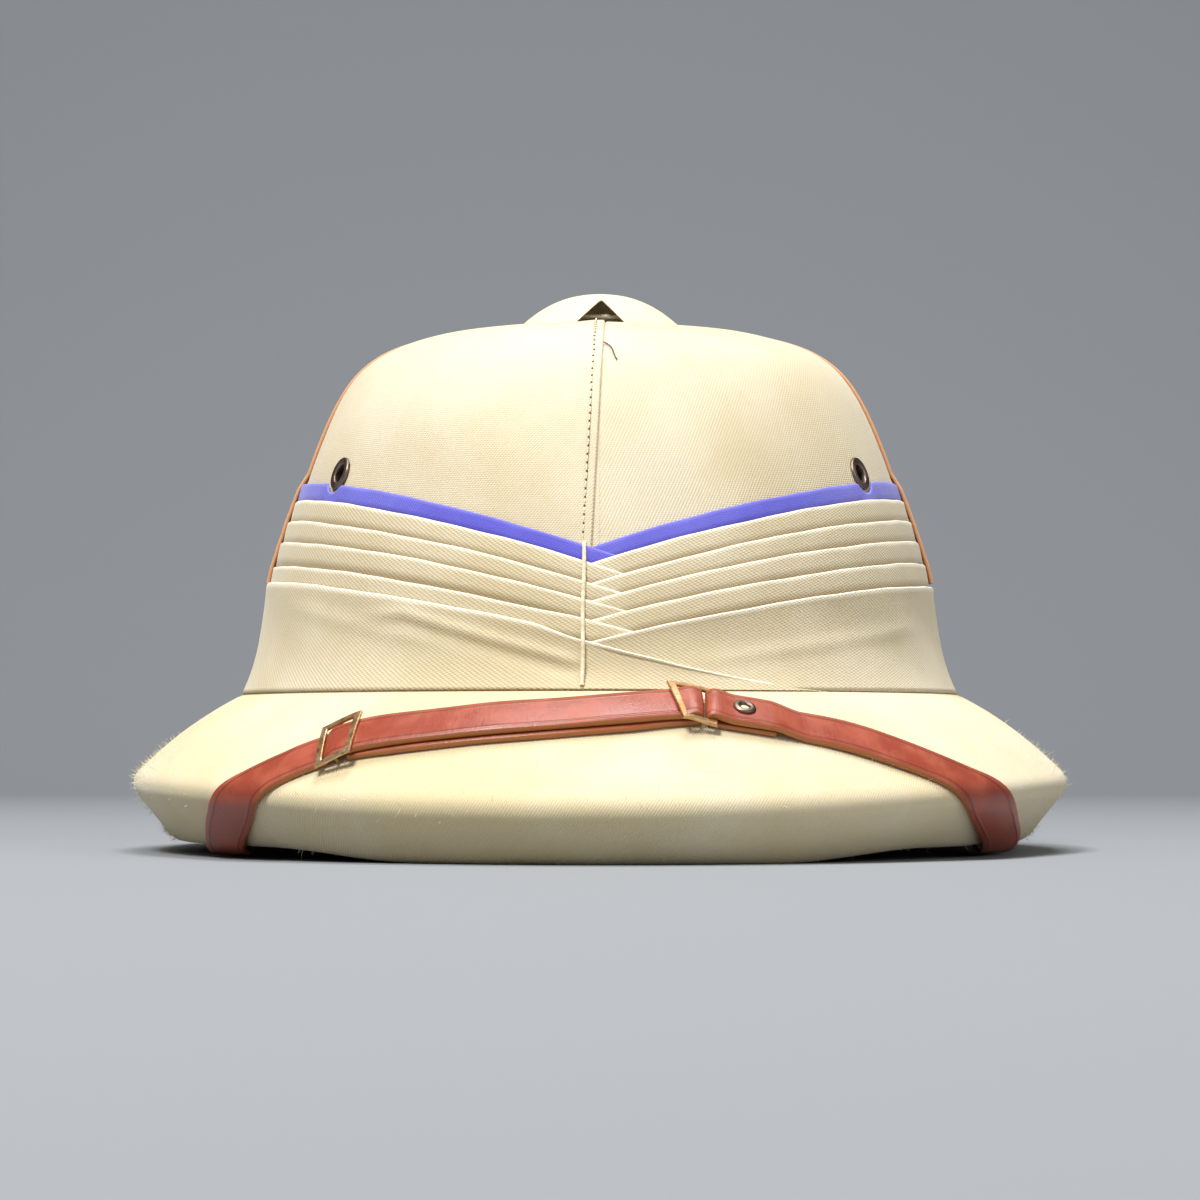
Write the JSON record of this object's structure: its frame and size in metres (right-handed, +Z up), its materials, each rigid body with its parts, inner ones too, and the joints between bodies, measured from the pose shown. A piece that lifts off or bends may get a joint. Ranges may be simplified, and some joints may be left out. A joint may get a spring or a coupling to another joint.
{
  "type": "pith helmet",
  "caption": "Cloth-covered sun helmet: hollow domed crown, sloping brim, wound pleated band with a blue top fold, vented button and a leather chin strap laid over the front of the brim.",
  "frame": {"origin": "on the surface the helmet rests on, under the middle of the brim", "axes": "+Z up through the crown, -Y towards the front, +X towards the wearer's left"},
  "size_m": [0.2828, 0.347, 0.1697],
  "materials": {
    "khaki_cloth": "twill, matt",
    "blue_cloth": "plain weave, slight sheen",
    "cap_cloth": "twill, matt",
    "red_leather": "worn, satin, with raw tan edges",
    "russet_tape": "matt",
    "worn_brass": "worn",
    "grey_metal": "dark, satin"
  },
  "bodies": {
    "root": {"crown": "khaki_cloth", "brim": "khaki_cloth", "puggaree": "khaki_cloth", "front_tack": "khaki_cloth", "blue_fold": "blue_cloth", "vent_cap": "cap_cloth", "strap_left": "red_leather", "strap_right": "red_leather", "side_tape_left": "russet_tape", "side_tape_right": "russet_tape", "slider_left": "worn_brass", "slider_right": "worn_brass", "vent_collar": "grey_metal", "eyelet_left": "grey_metal", "eyelet_right": "grey_metal", "strap_rivet": "grey_metal", "strap_post_left": "grey_metal", "strap_post_right": "grey_metal"}
  },
  "joints": []
}
